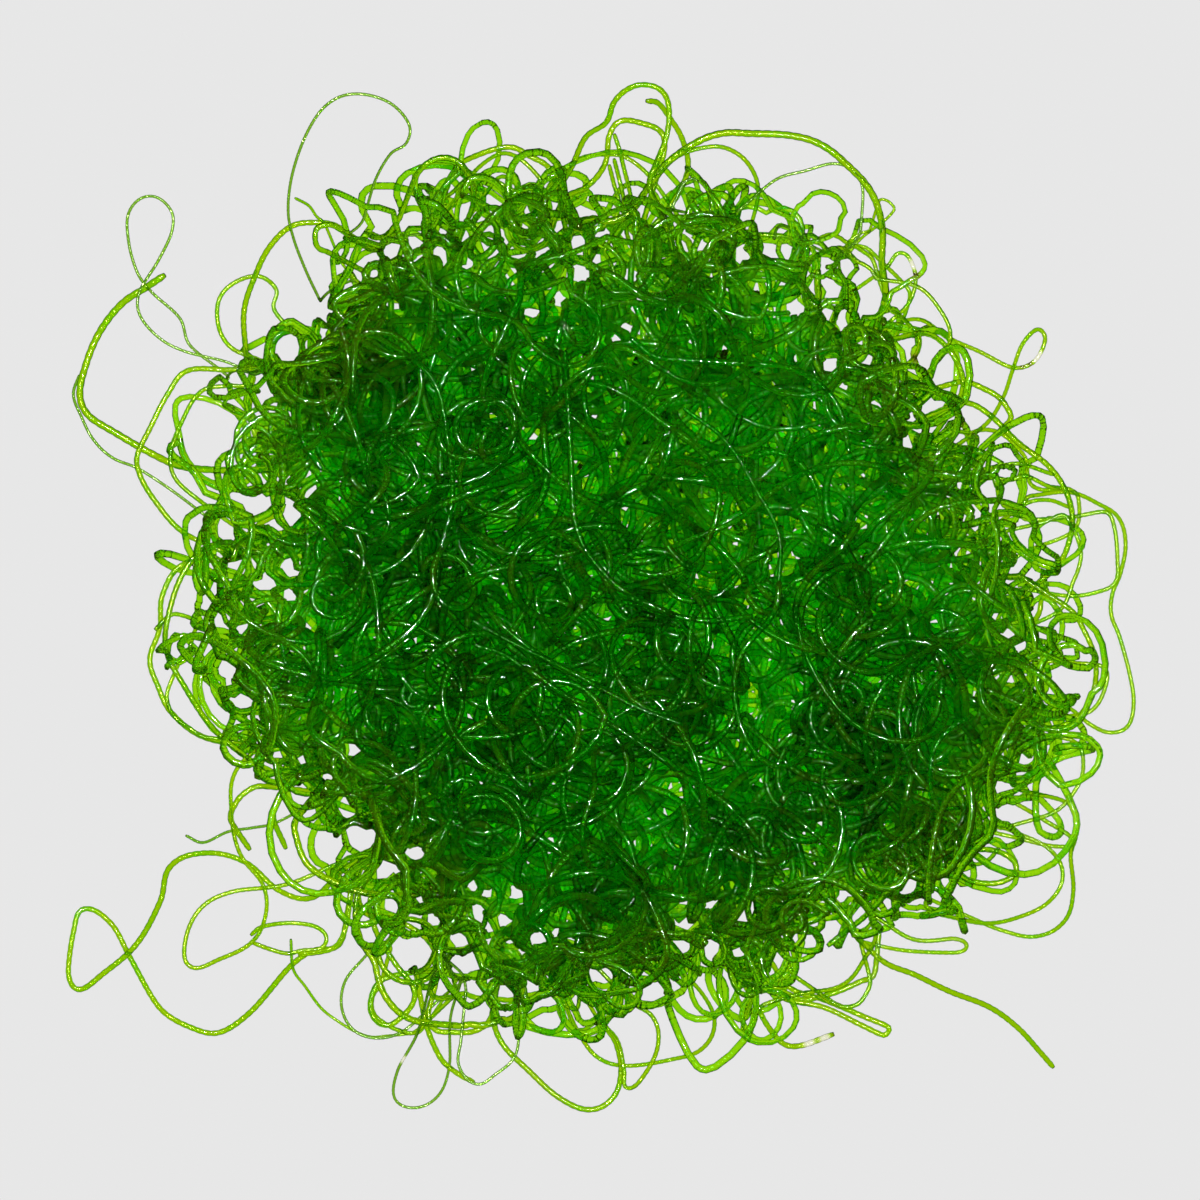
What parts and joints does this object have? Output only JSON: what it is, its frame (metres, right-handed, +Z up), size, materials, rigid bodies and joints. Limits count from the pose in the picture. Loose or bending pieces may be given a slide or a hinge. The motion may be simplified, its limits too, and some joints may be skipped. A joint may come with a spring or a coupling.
{
  "type": "chaeto macroalgae clump",
  "caption": "Loose ball of wiry green thread algae: a springy tangle of fine unbranched filaments with loops and free ends standing out of its rim",
  "frame": {"origin": "the middle of the clump's outline, on the surface that it lies on", "axes": "+X is to the right of the picture and the longest extent, +Y is towards the top of the picture, +Z is up, out of the surface towards the camera"},
  "size_m": [0.1075, 0.1028, 0.0404],
  "materials": {
    "mat": "wet translucent green algae, deep green where filaments overlap",
    "filaments": "wet translucent yellow-green filament with a beaded surface",
    "thin_filaments": "wet translucent pale green thin filament"
  },
  "bodies": {
    "root": {"filament_mat": "mat", "filament_upper_left_teardrop": "thin_filaments", "filament_left_arc": "filaments", "filament_left_arc_companion": "thin_filaments", "filament_left_strut_outer": "filaments", "filament_left_strut_inner": "filaments", "filament_upper_left_tall_loop": "thin_filaments", "filament_upper_left_hoop": "filaments", "filament_upper_left_small_hoop": "filaments", "filament_top_arch": "filaments", "filament_top_inner_arch": "filaments", "filament_top_hook": "filaments", "filament_top_cross_strand": "filaments", "filament_top_thin_strand": "thin_filaments", "filament_upper_right_arch": "filaments", "filament_upper_right_inner_arch": "filaments", "filament_upper_right_thin_arch": "thin_filaments", "filament_right_top_small_loop": "filaments", "filament_right_top_bow": "filaments", "filament_right_hook": "filaments", "filament_right_shoulder": "filaments", "filament_right_far_loop": "filaments", "filament_right_far_loop_double": "filaments", "filament_right_side_bow": "filaments", "filament_right_small_loop": "filaments", "filament_right_lower_bow": "filaments", "filament_lower_right_wide_hoop": "filaments", "filament_lower_right_inner_hoop": "filaments", "filament_lower_right_point": "filaments", "filament_lower_right_tail": "filaments", "filament_lower_right_flat_loop": "filaments", "filament_bottom_right_long_loop": "filaments", "filament_bottom_right_small_loop": "filaments", "filament_bottom_right_broken_end": "filaments", "filament_bottom_wide_loop": "filaments", "filament_bottom_middle_loop": "filaments", "filament_bottom_big_loop": "filaments", "filament_bottom_thin_loop": "thin_filaments", "filament_bottom_left_end": "filaments", "filament_bottom_left_thin_loop": "thin_filaments", "filament_lower_left_figure_eight": "filaments", "filament_lower_left_inner_loop": "filaments", "filament_lower_left_short_end": "filaments", "filament_lower_left_thin_tail": "thin_filaments", "filament_lower_left_hanging_hoop": "thin_filaments", "filament_left_rim_strand": "filaments", "filament_left_rim_bow": "filaments", "filament_over_hollow_ring": "filaments", "filament_over_middle_arc": "filaments", "filament_over_front_pair_upper": "filaments", "filament_over_front_pair_lower": "filaments", "filament_over_back_arc": "filaments", "filament_over_right_arc": "filaments", "filament_over_lower_right_strand": "filaments", "filament_over_right_hook": "filaments", "filament_over_left_sweep": "filaments"}
  },
  "joints": []
}
